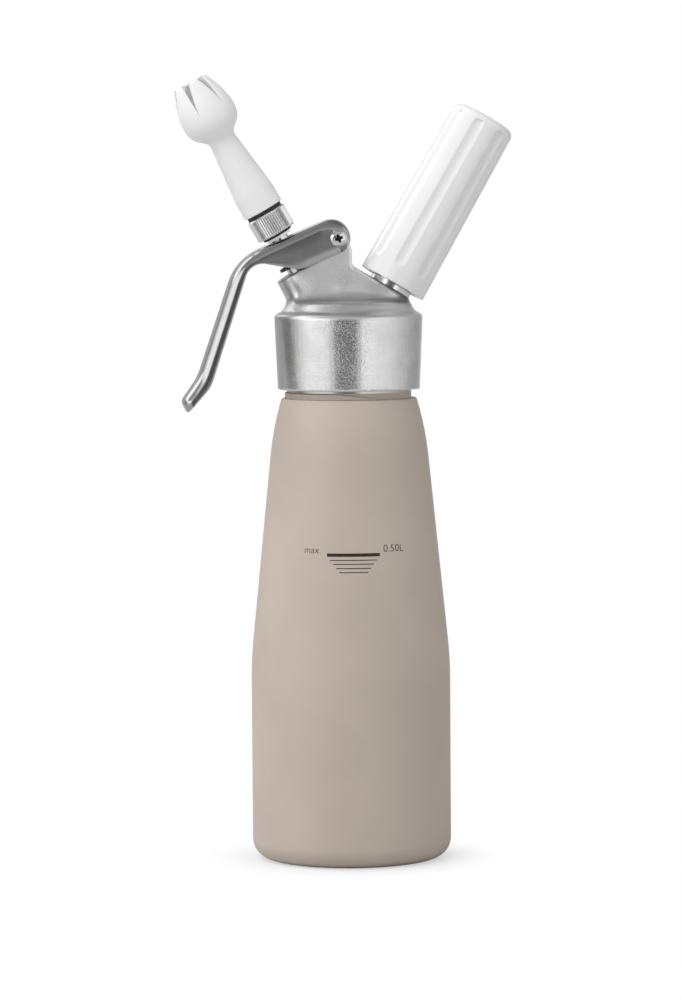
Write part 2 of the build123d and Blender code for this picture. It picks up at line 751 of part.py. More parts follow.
if __name__ == "__main__":
    os.makedirs("parts", exist_ok=True)
    makers = (
        flask, head, head_gasket, lever, pivot_sleeve, pivot_screw, valve_stem, stem_o_ring,
        stroke_clip, valve_spring, valve_seal, nozzle_adapter, adapter_seal, nozzle_gasket,
        tulip_nozzle, charger_port, piercing_pin, pin_seal, check_valve, gas_charger,
        holder_liner, charger_holder,
    )
    for make in makers:
        piece = make()
        piece.label = make.__name__
        export_step(piece, f"parts/{piece.label}.step")
        print(piece.label, round(piece.volume, 1), len(piece.solids()), piece.is_valid)
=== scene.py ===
from math import cos, pi, radians, sin, sqrt, tan

import bmesh
import bpy
import numpy as np
from mathutils import Matrix, Vector


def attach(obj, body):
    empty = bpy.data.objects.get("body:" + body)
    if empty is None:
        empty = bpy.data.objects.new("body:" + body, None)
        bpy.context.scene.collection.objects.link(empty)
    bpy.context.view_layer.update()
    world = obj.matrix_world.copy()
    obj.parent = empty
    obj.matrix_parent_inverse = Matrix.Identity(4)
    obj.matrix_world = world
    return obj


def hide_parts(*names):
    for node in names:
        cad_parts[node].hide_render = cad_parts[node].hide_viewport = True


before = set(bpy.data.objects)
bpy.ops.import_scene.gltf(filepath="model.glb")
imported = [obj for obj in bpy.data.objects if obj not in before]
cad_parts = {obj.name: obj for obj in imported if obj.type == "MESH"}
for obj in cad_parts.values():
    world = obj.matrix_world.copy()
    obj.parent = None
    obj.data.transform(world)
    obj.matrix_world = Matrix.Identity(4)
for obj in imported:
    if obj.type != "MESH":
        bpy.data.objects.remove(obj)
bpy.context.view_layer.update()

# --- camera, backdrop and lamps -----------------------------------------------------------
# A long lens a little above the lever looks slightly down at the dispenser's flat side, a
# little from the lever's end. The sweep is plain white and keeps only the shadow at the foot.


class Value:
    """A socket of a finish. Arithmetic on values adds Math nodes to that finish."""

    def __init__(self, finish, socket):
        self.finish = finish
        self.socket = socket

    def math(self, operation, first, *others):
        return self.finish.add(
            "ShaderNodeMath", {"operation": operation}, dict(enumerate((first, *others)))
        )

    def __add__(self, other):
        return self.math("ADD", self, other)

    def __sub__(self, other):
        return self.math("SUBTRACT", self, other)

    def __rsub__(self, other):
        return self.math("SUBTRACT", other, self)

    def __mul__(self, other):
        return self.math("MULTIPLY", self, other)

    def __truediv__(self, other):
        return self.math("DIVIDE", self, other)

    __radd__ = __add__
    __rmul__ = __mul__

    def rise(self, low, high):
        """Smooth step from 0 to 1 as this value goes from low to high."""
        return self.finish.add(
            "ShaderNodeMapRange", {"interpolation_type": "SMOOTHSTEP"},
            {"Value": self, "From Min": low, "From Max": high},
        )


class Finish:
    """A node tree. add() makes one node and gives one of its outputs as a value."""

    def __init__(self, tree):
        self.tree = tree
        tree.nodes.clear()

    def add(self, kind, settings=None, sockets=None, out=0):
        node = self.tree.nodes.new(kind)
        for key, value in (settings or {}).items():
            setattr(node, key, value)
        for key, value in (sockets or {}).items():
            if isinstance(value, Value):
                self.tree.links.new(value.socket, node.inputs[key])
            else:
                node.inputs[key].default_value = value
        return Value(self, node.outputs[out]) if len(node.outputs) else None

    def mix(self, factor, first, second):
        """Colour between first and second."""
        return self.add(
            "ShaderNodeMix", {"data_type": "RGBA"}, {0: factor, 6: first, 7: second}, out=2
        )

    def noise(self, place, scale, detail):
        """Fractal noise from 0 to 1."""
        return self.add("ShaderNodeTexNoise", {}, {"Vector": place, "Scale": scale, "Detail": detail})

    def bump(self, relief, strength, distance):
        """Normal that follows the slopes of a relief."""
        return self.add(
            "ShaderNodeBump", {}, {"Strength": strength, "Distance": distance, "Height": relief}
        )


def new_object(name, data):
    """Object that shows the data, linked to the scene."""
    thing = bpy.data.objects.new(name, data)
    bpy.context.scene.collection.objects.link(thing)
    return thing


world = bpy.data.worlds.new("studio")
world.use_nodes = True
bpy.context.scene.world = world
sky = Finish(world.node_tree)
way = sky.add("ShaderNodeTexCoord", out="Generated")
way_parts = sky.add("ShaderNodeSeparateXYZ", {}, {0: way}).socket.node.outputs
side_x, side_y, side_z = (Value(sky, way_parts[axis]) for axis in "XYZ")
bearing = sky.add(
    "ShaderNodeMath", {"operation": "ARCTAN2"}, {0: side_x, 1: 0 - side_y}
) * (180 / pi)
# Two soft walls with a dark gap between them, and unlit corners of the room behind them, by
# bearing in degrees: 0 is the front, and the charger holder's side is positive.
gap = bearing.rise(-40, -26) - bearing.rise(7, 12.5)
lever_corner = 0.72 * bearing.rise(-70, -112) - 0.10 * bearing.rise(-150, -174)
holder_corner = 0.80 * bearing.rise(12, 130) - 0.6 * bearing.rise(140, 172)
walls = 1.12 + 0.06 * bearing.rise(0, 20) - gap - lever_corner - holder_corner
# The dimmer ceiling, which starts higher over the wall on the holder's side.
wall_lift = 0.30 * (bearing.rise(14, 40) - bearing.rise(80, 110))
ceiling = (side_z - wall_lift).rise(0.18, 0.42)
overhead = 0.40 + 0.20 * bearing.rise(-40, -5) * (1 - side_z.rise(0.60, 0.82))
overhead = overhead - 0.16 * bearing.rise(60, 110)
room = walls + (overhead - walls) * ceiling
# A bright box low beside the lever, and another one high behind it.
front_box = bearing.rise(-98, -86) - bearing.rise(-38, -28)
front_box = front_box * (side_z.rise(0.08, 0.20) - side_z.rise(0.38, 0.50))
room = room + (2.1 - room) * front_box
back_box = side_y.rise(-0.06, 0.12) * (1 - side_x.rise(-0.44, -0.28))
back_box = back_box * (side_z.rise(0.24, 0.38) - side_z.rise(0.88, 0.96))
room = room + (2.2 - room) * back_box
# The camera sees plain white behind the dispenser.
seen = sky.add("ShaderNodeLightPath", out="Is Camera Ray")
through = sky.add("ShaderNodeLightPath", out="Is Transmission Ray")
backdrop = sky.add("ShaderNodeMath", {"operation": "MAXIMUM"}, {0: seen, 1: through})
level = room * (1 - backdrop) + backdrop
sky.add(
    "ShaderNodeOutputWorld", {},
    {"Surface": sky.add("ShaderNodeBackground", {}, {"Color": (1, 1, 1, 1), "Strength": level})},
)

camera_place = Vector((-0.2203, -1.8004, 0.2707))
camera_aim = Vector((-0.0038, -0.0005, 0.1444))
camera_roll = radians(-0.4)
lens = bpy.data.cameras.new("camera")
lens.lens = 162.8
lens.clip_start = 0.1
lens.clip_end = 20.0
camera = new_object("camera", lens)
camera.location = camera_place
look = (camera_aim - camera_place).to_track_quat("-Z", "Y").to_matrix()
camera.rotation_euler = (look @ Matrix.Rotation(camera_roll, 3, "Z")).to_euler()
bpy.context.scene.camera = camera
bpy.context.scene.view_settings.view_transform = "Standard"

lamp_aim = Vector((0, 0, 0.16))
for name, place, size, watts in (
    ("left_softbox", (-0.78, -0.78, 1.72), (1.1, 0.6), 15.0),
    ("top_softbox", (0.10, -0.15, 1.50), (1.2, 1.0), 0.3),
):
    softbox = bpy.data.lights.new(name, "AREA")
    softbox.shape = "RECTANGLE"
    softbox.size, softbox.size_y = size
    softbox.energy = watts
    lamp = new_object(name, softbox)
    lamp.visible_glossy = False
    lamp.location = place
    lamp.rotation_euler = (lamp_aim - Vector(place)).to_track_quat("-Z", "Y").to_euler()

# The sweep is white to the camera, and a grey card within 65 mm of the middle of the foot.
card_inner, card_fade = 0.020, 0.045
sweep = bpy.data.meshes.new("floor")
sweep.from_pydata([(-0.9, -0.9, 0), (0.9, -0.9, 0), (0.9, 0.9, 0), (-0.9, 0.9, 0)], [], [(0, 1, 2, 3)])
floor = new_object("floor", sweep)
floor_material = bpy.data.materials.new("white_sweep")
floor_material.use_nodes = True
card = Finish(floor_material.node_tree)
matt = card.add("ShaderNodeBsdfDiffuse", {}, {"Color": (0.65, 0.65, 0.65, 1)})
white = card.add("ShaderNodeEmission", {}, {"Color": (1, 1, 1, 1), "Strength": 1.0})
spot = card.add("ShaderNodeTexCoord", out="Object")
away = card.add("ShaderNodeVectorMath", {"operation": "LENGTH"}, {0: spot}, out="Value")
seen_card = card.add("ShaderNodeLightPath", out="Is Camera Ray")
near_foot = 1 - card.add("ShaderNodeClamp", {}, {"Value": (away - card_inner) / card_fade})
bleached = (1 - near_foot * near_foot) * seen_card
card.add("ShaderNodeOutputMaterial", {}, {
    "Surface": card.add("ShaderNodeMixShader", {}, {0: bleached, 1: matt, 2: white}),
})
sweep.materials.append(floor_material)

# --- flask --------------------------------------------------------------------------------
# One deep-drawn shell, tapered and rolled in at the shoulder, with a threaded neck.
# Satin powder paint covers it up to the collar; the neck above is left bare steel.


def rounded(corners, fillets, steps=10):
    """Open outline through corners; each corner with a fillet becomes an arc that touches
    both of its sides. The arc's centre lies on the corner's bisector."""
    corners = [np.array(c, float) for c in corners]
    points = [corners[0]]
    for before, corner, after, fillet in zip(corners, corners[1:], corners[2:], fillets):
        if fillet == 0:
            points.append(corner)
            continue
        back = (before - corner) / np.linalg.norm(before - corner)
        on = (after - corner) / np.linalg.norm(after - corner)
        half = np.arccos(np.clip(back @ on, -1, 1)) / 2
        middle = corner + (back + on) / np.linalg.norm(back + on) * fillet / np.sin(half)
        first = corner + back * fillet / np.tan(half) - middle
        last = corner + on * fillet / np.tan(half) - middle
        spread = np.arccos(np.clip(first @ last / fillet**2, -1, 1))
        share = np.linspace(0, 1, steps)[:, None]
        arc = (np.sin((1 - share) * spread) * first + np.sin(share * spread) * last) / np.sin(spread)
        points.extend(middle + arc)
    points.append(corners[-1])
    return np.array(points)


def swept_arc(start, lean, end, steps=12):
    """Points after start on the circle that leaves it at the given lean and meets end."""
    start, end, lean = (np.array(v, float) for v in (start, end, lean))
    chord = end - start
    share = np.linspace(0, 1, steps + 1)[1:, None]
    across = lean * np.linalg.norm(chord) / (lean @ chord / np.linalg.norm(chord))
    return (1 - share) ** 2 * start + 2 * share * (1 - share) * (start + across / 2) + share**2 * end


def closed_mesh(name, *grids, crease=40.0, weld=1e-6):
    """Closed surface over grids of points in metres: neighbours in both directions make
    quads, and points that fall together, along seams, at poles and where two grids meet,
    become one. Edges sharper than the crease stay sharp."""
    whole = bmesh.new()
    for grid in grids:
        rows, columns = grid.shape[:2]
        index = np.arange(rows * columns).reshape(rows, columns)
        quads = np.stack([index[:-1, :-1], index[:-1, 1:], index[1:, 1:], index[1:, :-1]], -1)
        patch = bpy.data.meshes.new(name)
        patch.from_pydata(grid.reshape(-1, 3), [], quads.reshape(-1, 4))
        whole.from_mesh(patch)
        bpy.data.meshes.remove(patch)
    bmesh.ops.remove_doubles(whole, verts=whole.verts, dist=weld)
    bmesh.ops.dissolve_degenerate(whole, edges=whole.edges, dist=1e-7)
    bmesh.ops.recalc_face_normals(whole, faces=whole.faces)
    mesh = bpy.data.meshes.new(name)
    whole.to_mesh(mesh)
    whole.free()
    mesh.shade_smooth()
    mesh.set_sharp_from_angle(angle=radians(crease))
    return mesh


def turned(profile, sides=160, wobble=None):
    """Grid of a profile of (radius, height) carried once round Z; wobble(angle, height,
    radius) gives the change of radius there."""
    angle = np.linspace(0, 2 * pi, sides + 1)
    radius = np.repeat(profile[:, :1], sides + 1, 1)
    height = np.repeat(profile[:, 1:2], sides + 1, 1)
    if wobble:
        radius = radius + wobble(np.broadcast_to(angle, radius.shape), height, radius)
    return np.stack([radius * np.cos(angle), radius * np.sin(angle), height], -1)


def fitted(name, grids, finish, body, slot=None, *nodes, **options):
    """Makes a piece from grids in millimetres, and seats it on its body in place of the plain
    nodes. The options are those of closed_mesh."""
    mesh = closed_mesh(name, *(grid / 1000 for grid in grids), **options)
    mesh.materials.append(finish)
    piece = new_object(name, mesh)
    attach(piece, body)
    if nodes:
        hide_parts(*nodes)
    return piece


def new_finish(name):
    """Empty material, and its node tree as a finish."""
    material = bpy.data.materials.new(name)
    material.use_nodes = True
    return material, Finish(material.node_tree)


def close(finish, sockets):
    """Ends a finish with its surface shader."""
    surface = finish.add("ShaderNodeBsdfPrincipled", {}, sockets)
    finish.add("ShaderNodeOutputMaterial", {}, {"Surface": surface})


flask_radius, wall, foot_corner, foot_ring_radius, foot_dish = 40.0, 1.8, 8.0, 30.0, 3.0
knee_height, knee_round, taper = 80.3, 160.0, tan(radians(5.76))
shoulder_foot, shoulder_top, shoulder_radius = 162.0, 184.4, 27.4
shoulder_foot_radius = flask_radius - (shoulder_foot - knee_height) * taper
collar_foot, collar_top, collar_step, collar_ease = 185.5, 188.1, 0.75, 0.35
dip_bearing, dip_run = 252.0, (0, 50, 120, 150)
neck_radius, neck_top, neck_pitch, neck_ridge = 25.0, 211.0, 4.0, 1.0
neck_thread_low, neck_thread_high, neck_thread_start = 190.2, 207.5, 191.6
crest_half, ridge_flank, ridge_fade = 0.35, 0.75, 1.5


def flask_side(inset):
    """Foot corner, side, knee and taper, and the shoulder rolled over as one arc."""
    side = rounded(
        [(foot_ring_radius, inset), (flask_radius - inset, inset), (flask_radius - inset, knee_height),
         (shoulder_foot_radius - inset, shoulder_foot)],
        [foot_corner - inset, knee_round - inset], 24,
    )
    lean = np.array((-taper, 1.0)) / sqrt(1 + taper**2)
    shoulder = swept_arc(
        (shoulder_foot_radius - inset, shoulder_foot), lean,
        (shoulder_radius - inset, shoulder_top - inset / 2),
    )
    return np.vstack([side, shoulder])


def dish(inset, steps=10):
    """Shallow domed underside from the middle out to the foot ring."""
    out = np.linspace(0, foot_ring_radius, steps)
    return np.stack([out, foot_dish * (1 - (out / foot_ring_radius) ** 2) + inset], -1)


def neck_thread(angle, height, radius):
    """Painted collar whose edge drops to the shoulder and comes back between two bearings,
    then a rounded ridge that climbs one pitch a turn and fades out at both ends."""
    outside = radius > neck_radius - 0.5
    after = np.mod(np.degrees(angle) - dip_bearing, 360.0)
    collar = np.interp(after, dip_run, (collar_top, collar_foot, collar_foot, collar_top))
    step = collar_step * np.clip((collar - height) / collar_ease, 0, 1) * (height > collar_foot)
    turns = (height - neck_thread_start) / neck_pitch - angle / (2 * pi)
    off_crest = np.abs(turns - np.round(turns)) * neck_pitch
    fade = np.clip((height - neck_thread_low) / ridge_fade, 0, 1)
    fade = fade * np.clip((neck_thread_high - height) / ridge_fade, 0, 1)
    ridge = neck_ridge * np.clip(1 - (off_crest - crest_half) / ridge_flank, 0, 1) * fade
    return outside * np.where(height > collar_foot + 0.01, step + ridge, 0)


neck_bore = neck_radius - wall
neck_rows = np.arange(collar_foot + 0.1, neck_top - 1.1, 0.14)
neck_outside = np.stack([np.full_like(neck_rows, neck_radius), neck_rows], -1)
neck_rim = rounded(
    [(neck_radius, neck_top - 1.0), (neck_radius, neck_top), (neck_bore, neck_top),
     (neck_bore, neck_top - 1.5)],
    [0.5, 0.5], 5,
)
shoulder_lip = rounded(
    [(27.3, 184.7), (27.15, collar_foot), (neck_radius, collar_foot), (neck_radius, collar_foot + 0.1)],
    [0.6, 0.0], 5,
)
flask_inside = np.vstack([flask_side(wall), [(neck_bore + 0.5, 185.0), (neck_bore, 186.0)]])[::-1]
flask_profile = np.vstack([
    dish(0.0), flask_side(0.0), shoulder_lip, neck_outside, neck_rim, flask_inside, dish(wall)[::-1],
])

flask_paint, paint = new_finish("flask_satin_paint")
place = paint.add("ShaderNodeTexCoord", out="Object")
heights = paint.add("ShaderNodeSeparateXYZ", {}, {0: place}, out="Z")
cloud = paint.noise(place, 26.0, 3.0)
orange_peel = paint.noise(place, 900.0, 2.0)
speck = paint.noise(place, 3200.0, 1.0)
taupe = paint.mix(cloud.rise(0.35, 0.65), (0.500, 0.428, 0.369, 1), (0.530, 0.454, 0.393, 1))
taupe = paint.mix(speck.rise(0.62, 0.80) * 0.10, taupe, (0.85, 0.80, 0.74, 1))
paint_edge = heights + 0.0002 * cloud
bare = paint_edge.rise(collar_top / 1000, collar_top / 1000 + 0.0002)
turned_rings = paint.add("ShaderNodeMapping", {}, {"Vector": place, "Scale": (1, 1, 60)})
brushed = paint.noise(turned_rings, 60.0, 3.0)
steel = paint.mix(brushed.rise(0.3, 0.7), (0.50, 0.49, 0.47, 1), (0.66, 0.65, 0.63, 1))
close(paint, {
    "Base Color": paint.mix(bare, taupe, steel),
    "Metallic": bare,
    "Roughness": 0.44 + 0.05 * cloud - 0.20 * bare,
    "Specular IOR Level": 0.42,
    "Normal": paint.bump(orange_peel, 0.28, 0.00006),
})
flask_grid = turned(flask_profile, 192, neck_thread)
fitted("flask_shell", [flask_grid], flask_paint, "flask", "flask_paint", "flask")

# --- fill mark ----------------------------------------------------------------------------
# Thin dark ink printed on the taper: one heavy line at the fill level, four fine lines
# below it that grow shorter, and the plain words beside them.

ink_finish, ink = new_finish("fill_mark_ink")
place = ink.add("ShaderNodeTexCoord", out="Object")
mottle = ink.noise(place, 1500.0, 2.0)
close(ink, {
    "Base Color": ink.mix(mottle.rise(0.35, 0.75), (0.018, 0.016, 0.015, 1), (0.045, 0.040, 0.036, 1)),
    "Roughness": 0.5 + 0.1 * mottle,
    "Specular IOR Level": 0.3,
})
mark_bearing = radians(-94.75)
ink_root, ink_skin = -0.05, 0.04


def on_taper(along, height, proud):
    """Place on the tapered side: arc length from the mark's middle, height, and how far it
    stands proud of the paint."""
    radius = flask_radius - (height - knee_height) * taper
    angle = mark_bearing + along / radius
    out = radius + proud
    return np.stack([out * np.cos(angle), out * np.sin(angle), height + 0 * along], -1)


def printed_bar(name, half, low, high):
    """Film of ink: a closed strip that follows the side at one height."""
    along = np.linspace(-half, half, 25)
    loop = [(low, ink_root), (low, ink_skin), (high, ink_skin), (high, ink_root), (low, ink_root)]
    rows = np.stack([on_taper(along, np.full_like(along, height), proud) for height, proud in loop])
    caps = np.repeat(rows.mean(0, keepdims=True), len(loop), 0)
    film = np.concatenate([caps[:, :1], rows, caps[:, -1:]], 1)
    fitted(name, [film], ink_finish, "flask", crease=30)


def applied(piece):
    """Mesh of a piece as it shows, with its modifiers applied."""
    bpy.context.view_layer.update()
    return bpy.data.meshes.new_from_object(piece.evaluated_get(bpy.context.evaluated_depsgraph_get()))


def points_of(mesh):
    """Places of a mesh's points, one row each."""
    points = np.zeros(len(mesh.vertices) * 3)
    mesh.vertices.foreach_get("co", points)
    return points.reshape(-1, 3)


def printed_word(name, text, size, middle, baseline, slant=0.0):
    """Flat letters bent round the side, with the thickness of the ink."""
    curve = bpy.data.curves.new(name, "FONT")
    curve.body = text
    curve.size = size
    curve.align_x = "CENTER"
    curve.shear = slant
    curve.offset = -0.012 * size
    flat = new_object(name, curve)
    mesh = applied(flat)
    bpy.data.objects.remove(flat)
    letters = bmesh.new()
    letters.from_mesh(mesh)
    bmesh.ops.remove_doubles(letters, verts=letters.verts, dist=1e-4)
    top = bmesh.ops.extrude_face_region(letters, geom=letters.faces[:])
    raised = [part for part in top["geom"] if isinstance(part, bmesh.types.BMVert)]
    for points, depth in ((letters.verts, ink_root), (raised, ink_skin)):
        for point in points:
            point.co.z = depth
    bmesh.ops.recalc_face_normals(letters, faces=letters.faces)
    # An extrusion makes its sides in no fixed order, so the faces are sorted by their points.
    letters.verts.index_update()
    count = len(letters.verts)
    letters.faces.sort(key=lambda face: np.polyval(sorted(v.index for v in face.verts)[:3], count))
    letters.to_mesh(mesh)
    letters.free()
    along, up, proud = points_of(mesh).T
    bent = on_taper(middle + along, baseline + up, proud)
    mesh.vertices.foreach_set("co", (bent / 1000).ravel())
    mesh.materials.clear()
    mesh.materials.append(ink_finish)
    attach(new_object(name, mesh), "flask")


fine_half = 0.17
printed_bar("fill_line", 10.6, 124.3, 125.6)
for number, (half, height) in enumerate(((9.4, 122.9), (8.1, 121.35), (6.95, 119.7), (5.7, 118.1)), 1):
    printed_bar(f"fill_fine_line_{number}", half, height - fine_half, height + fine_half)
printed_word("fill_word_max", "max.", 3.9, -16.8, 125.55, 0.12)
printed_word("fill_word_volume", "0.50L", 4.15, 16.6, 125.95)

# --- head ---------------------------------------------------------------------------------
# Pressure-cast aluminium, tumbled and bead-blasted so that every inside corner is soft.
# The skirt is turned afterwards and shows fine rings.


def soft_casting(name, node, voxel, passes, flank, flank_passes, sag, worn):
    """Even skin over a node whose hollow corners are then filled: each pass moves a point
    towards the middle of its neighbours, but never inwards, so outer edges stay. After the
    first passes the points drop by the sag, and the filling goes on in the flank alone. Last,
    in each worn zone, passes that also move inwards soften the outer edges. The sag, the
    flank and the zones are functions of the points in millimetres."""
    casting = new_object(name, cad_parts[node].data.copy())
    skin = bmesh.new()
    skin.from_mesh(casting.data)
    bmesh.ops.remove_doubles(skin, verts=skin.verts, dist=1e-6)
    skin.to_mesh(casting.data)
    skin.free()
    if "custom_normal" in casting.data.attributes:
        casting.data.attributes.remove(casting.data.attributes["custom_normal"])
    even = casting.modifiers.new("even", "REMESH")
    even.mode = "VOXEL"
    even.voxel_size = voxel
    mesh = applied(casting)
    casting.modifiers.clear()
    casting.data = mesh
    points = points_of(mesh)
    count = len(points)
    edges = np.zeros(len(mesh.edges) * 2, int)
    mesh.edges.foreach_get("vertices", edges)
    edges = edges.reshape(-1, 2)
    near = np.bincount(edges.ravel(), minlength=count)[:, None]

    def lag(values):
        """Middle of each point's neighbours, less the point."""
        total = np.stack([
            np.bincount(edges[:, 0], values[edges[:, 1], axis], count)
            + np.bincount(edges[:, 1], values[edges[:, 0], axis], count)
            for axis in range(3)
        ], -1)
        return total / near - values

    # A smoothing pass and one back take the steps of the voxels away and keep the size.
    for step in range(3):
        points = points + 0.5 * lag(points)
        points = points - 0.52 * lag(points)
    normals = np.zeros(count * 3)
    share = 1
    for step in range(passes + flank_passes):
        if step == passes:
            share = flank(points * 1000)[:, None]
            points[:, 2] -= sag(points * 1000) / 1000
        if step % 6 == 0:
            mesh.vertices.foreach_set("co", points.ravel())
            mesh.update()
            mesh.vertex_normals.foreach_get("vector", normals)
        out = normals.reshape(-1, 3)
        shift = lag(points)
        lift = (shift * out).sum(1, keepdims=True)
        side = shift - lift * out
        points = points + share * (0.3 * side + 0.5 * np.maximum(lift, 0) * out)
    for zone, zone_passes in worn:
        share = 0.5 * zone(points * 1000)[:, None]
        for step in range(zone_passes):
            points = points + share * lag(points)
    mesh.vertices.foreach_set("co", points.ravel())
    mesh.shade_smooth()
    mesh.update()
    return casting


def ramp(values, low, high):
    """Smooth rise from 0 at low to 1 at high."""
    share = np.clip((values - low) / (high - low), 0, 1)
    return share * share * (3 - 2 * share)


spout_face, spout_tilt = (-20.15, 237.0), radians(-30.0)
port_face, port_tilt = (16.7, 229.4), radians(30.0)
crown_drop = 2.4


def height_over(points, face, tilt):
    """Height of each point over a tilted face, along the face's own axis."""
    return (points[:, 0] - face[0]) * sin(tilt) + (points[:, 2] - face[1]) * cos(tilt)


def tumbled(points):
    """The two flanks between the skirt and the pivot, short of both turned faces."""
    x, y, z = points.T
    flank = ramp(np.abs(y), 3, 7) * ramp(z, 221, 224) * (1 - ramp(z, 238, 243))
    off_spout = 1 - ramp(height_over(points, spout_face, spout_tilt), -5, -2)
    return flank * off_spout * (1 - ramp(height_over(points, port_face, port_tilt), -4, -1.5))


def spout_flank(points):
    """Both sides of the spout boss, where it runs into the ear."""
    x, y, z = points.T
    flank = ramp(-x, 4, 9) * ramp(np.abs(y), 3, 6) * ramp(z, 225, 229) * (1 - ramp(z, 238, 243))
    return flank * (1 - ramp(height_over(points, spout_face, spout_tilt), -3, -1))


def crown_sag(points):
    """How far the crown lies lower beside the ear than under it."""
    x, y, z = points.T
    return crown_drop * ramp(np.abs(y), 7.2, 11) * ramp(z, 222.5, 228) * (1 - ramp(z, 229, 236))


cast_finish, cast = new_finish("cast_aluminium")
place = cast.add("ShaderNodeTexCoord", out="Object")
heights = cast.add("ShaderNodeSeparateXYZ", {}, {0: place}, out="Z")
blast = cast.noise(place, 2100.0, 1.0)
patch = cast.noise(place, 120.0, 3.0)
ring_place = cast.add("ShaderNodeMapping", {}, {"Vector": place, "Scale": (0.02, 0.02, 1)})
rings = cast.noise(ring_place, 2600.0, 2.0)
skirt = 1 - heights.rise(0.2165, 0.2185)
skirt_relief = blast.rise(0.50, 0.80) * 0.33 + rings * 0.08
relief = blast * (1 - skirt) + skirt_relief * skirt
close(cast, {
    "Base Color": cast.mix(patch.rise(0.3, 0.7), (0.70, 0.70, 0.705, 1), (0.77, 0.77, 0.77, 1)),
    "Metallic": 1.0,
    "Roughness": 0.31 + 0.06 * patch - 0.12 * skirt,
    "Normal": cast.bump(relief, 0.75, 0.00015),
})
casting = soft_casting(
    "head_casting", "head", voxel=0.00055, passes=30, flank=tumbled, flank_passes=24, sag=crown_sag,
    worn=((tumbled, 7), (spout_flank, 80)),
)
casting.data.materials.clear()
casting.data.materials.append(cast_finish)
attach(casting, "head")
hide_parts("head")

# --- lever --------------------------------------------------------------------------------
# Drawn from one sheet of stainless steel: a web with two flanges and wide long bends, wrapped
# round the ear at its end, slotted for the valve and flared at its closed tip. Drum polished.


def leaning(points, face, lean, lift=0.0):
    """Turns a grid about Y by the lean, then moves its foot to lift above the face."""
    x = points[..., 0] * cos(lean) + (points[..., 2] + lift) * sin(lean) + face[0]
    z = -points[..., 0] * sin(lean) + (points[..., 2] + lift) * cos(lean) + face[1]
    return np.stack([x, points[..., 1], z], -1)


def heading(degrees):
    """Unit step in the lever's plane, in degrees from its first axis."""
    return np.array((cos(radians(degrees)), sin(radians(degrees))))


# The lever's plane has the pivot at its origin, and its first axis lies along the web.
lever_half, sheet_gauge, lever_fall = 9.2, 1.25, radians(-22.7)
pivot = leaning(np.array((19.4, 0.0, 3.2)), spout_face, spout_tilt)
end_middle, end_radius = np.array((-1.5, 1.275)), 6.975
knee = np.array((-39.5, 8.25))
arm_length, arm_way = 50.1, heading(228.6)
tip_length, tip_way = 11.7, heading(212.2)
bend = knee + arm_way * arm_length
nose = bend + tip_way * tip_length
chin = nose + (0.3, -4.6)
heel = bend + np.array((-arm_way[1], arm_way[0])) * 5.3 + arm_way * 2.0


def along_path(path, step):
    """Points at equal steps of length along a path, and the lengths at which they lie."""
    length = np.concatenate([[0], np.cumsum(np.linalg.norm(np.diff(path, axis=0), axis=1))])
    places = np.linspace(0, length[-1], int(length[-1] / step) + 1)
    return np.stack([np.interp(places, length, path[:, k]) for k in (0, 1)], -1), places


wrap_angles = np.radians(np.linspace(-30, 90, 30))
wrap_run = end_middle + end_radius * np.stack([np.cos(wrap_angles), np.sin(wrap_angles)], -1)
web_run = rounded([wrap_run[-1], knee, bend, nose, chin], [24.0, 22.0, 3.0], 24)
web_line, web_length = along_path(np.vstack([wrap_run, web_run[1:]]), 0.45)
flange_run = rounded(
    [end_middle - (0, end_radius), (-18.5, -5.7), knee + (3.7, -2.95), heel, chin], [12.0, 7.0, 14.0], 24,
)
flange_line, flange_length = along_path(flange_run, 0.1)

# Each station of the web looks square across the channel for its place on the flange's edge.
# The places only move on, are eased by a bell of weights, and stop short of the closed tip.
web_lean = np.gradient(web_line, axis=0)
inward = np.stack([-web_lean[:, 1], web_lean[:, 0]], -1) / np.linalg.norm(web_lean, axis=1)[:, None]
sight = flange_line[None] - web_line[:, None]
reach = np.linalg.norm(sight, axis=2)
facing = (sight * inward[:, None]).sum(2) / np.maximum(reach, 1e-6) - 0.02 * reach
partner = np.maximum.accumulate(flange_length[np.argmax(facing, axis=1)])
on_wrap = web_length < np.ptp(wrap_angles) * end_radius
partner = np.minimum(np.where(on_wrap, 0.0, partner), flange_length[-1] - 4.5)
bell = np.exp(-0.5 * (np.arange(-8, 9) / 3.5) ** 2)
partner = np.convolve(np.pad(partner, 8, "edge"), bell / bell.sum(), "valid")
edge_point = np.stack([np.interp(partner, flange_length, flange_line[:, k]) for k in (0, 1)], -1)

# Near the wrapped end the flange is cut along the circle instead of straight across.
wrap_bearing = (np.radians(-30) + web_length / end_radius)[:, None]
circle_share = np.clip(1 - web_length / 5.0, 0, 1)[:, None]
across = np.linalg.norm(edge_point - web_line, axis=1)[:, None]
round_wrap = end_radius * (wrap_bearing + pi / 2)
flange_depth = across * (1 - circle_share) + circle_share * round_wrap
bend_radius = np.interp(web_length, (0, 4, 11, 18, 46, 60), (3.0, 5.6, 5.6, 3.2, 4.0, 4.0))[:, None]
bend_radius = np.minimum(bend_radius, 0.8 * flange_depth)
bend_turn = np.linspace(0, pi / 2, 9)
edge_ease = 0.25


